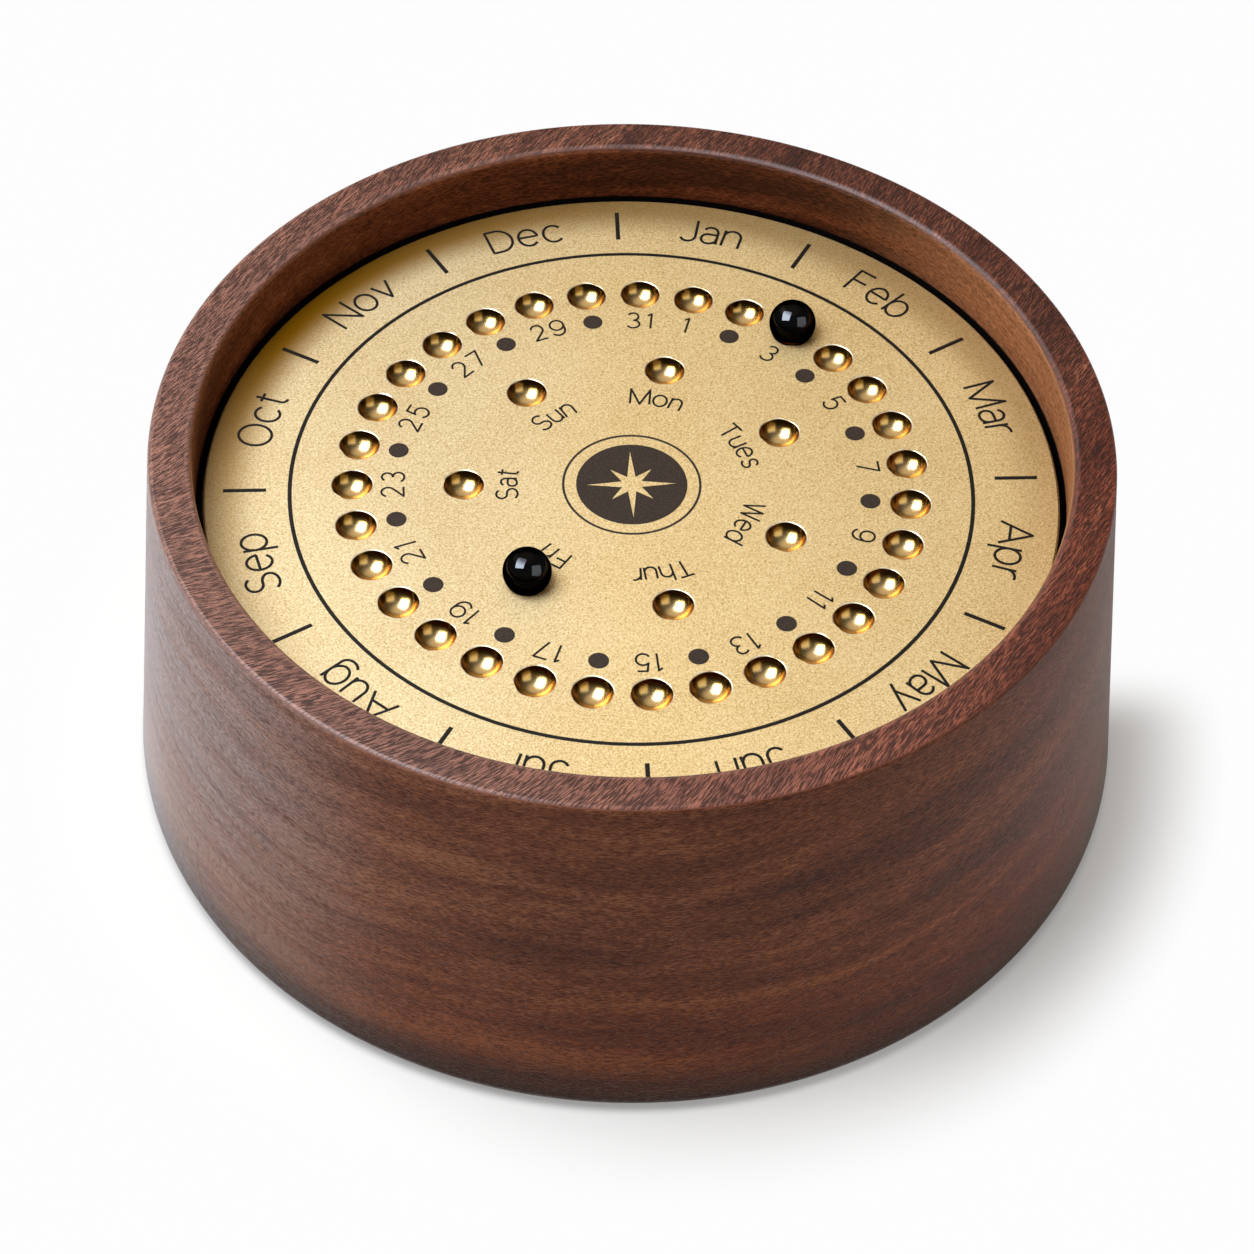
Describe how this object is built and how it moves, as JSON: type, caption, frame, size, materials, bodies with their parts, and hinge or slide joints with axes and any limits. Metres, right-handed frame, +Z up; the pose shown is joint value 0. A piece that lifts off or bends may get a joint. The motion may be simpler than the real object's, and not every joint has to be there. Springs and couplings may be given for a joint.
{
  "type": "perpetual desk calendar",
  "caption": "Round wooden desk calendar with a sunken brass dial that turns, and loose black balls that rest in dimples to mark the date and the weekday.",
  "frame": {"origin": "centre of the drum's foot, on the table", "axes": "+Z up along the dial's turning axis; +Y to the dial's twelve o'clock, where December meets January; -Y is the front"},
  "size_m": [0.127, 0.127, 0.052],
  "materials": {
    "walnut": "oiled walnut, open pores, soft sheen",
    "cork": "fine agglomerated cork",
    "felt": "dense wool felt",
    "acetal": "turned natural acetal",
    "ptfe": "cut PTFE sheet",
    "zinc_steel": "zinc plated",
    "stainless": "plain stainless steel",
    "spring_steel": "blued spring steel",
    "nylon": "dyed nylon",
    "gold_brass": "fine bead-blasted gold, with polished dimples",
    "turned_brass": "turned brass",
    "dark_enamel": "dark brown enamel fill",
    "black_ball": "polished black glass"
  },
  "bodies": {
    "drum": {"walnut_drum": "walnut", "cork_base_pad": "cork", "felt_glide_ring": "felt", "pivot_bush": "acetal", "bush_screws": "zinc_steel", "upper_thrust_washer": "ptfe", "lower_thrust_washer": "ptfe"},
    "dial": {"dial_plate": "gold_brass", "month_ring_enamel": "dark_enamel", "month_divider_enamel": "dark_enamel", "even_date_enamel": "dark_enamel", "centre_rose_enamel": "dark_enamel", "spindle_hub": "turned_brass", "hub_screws": "stainless", "disc_spring": "spring_steel", "retaining_washer": "stainless", "lock_nut": "zinc_steel", "lock_nut_insert": "nylon"},
    "date_marker": {"date_ball": "black_ball"},
    "weekday_marker": {"weekday_ball": "black_ball"}
  },
  "joints": [
    {"name": "dial_turn", "type": "hinge", "parent": "drum", "child": "dial", "pos_m": [0, 0, 0.0406], "axis": [0, 0, 1], "continuous": true},
    {"name": "date_ball_lift", "type": "slide", "parent": "dial", "child": "date_marker", "axis": [0, 0, 1], "range_m": [0, 0.06]},
    {"name": "weekday_ball_lift", "type": "slide", "parent": "dial", "child": "weekday_marker", "axis": [0, 0, 1], "range_m": [0, 0.06]}
  ]
}
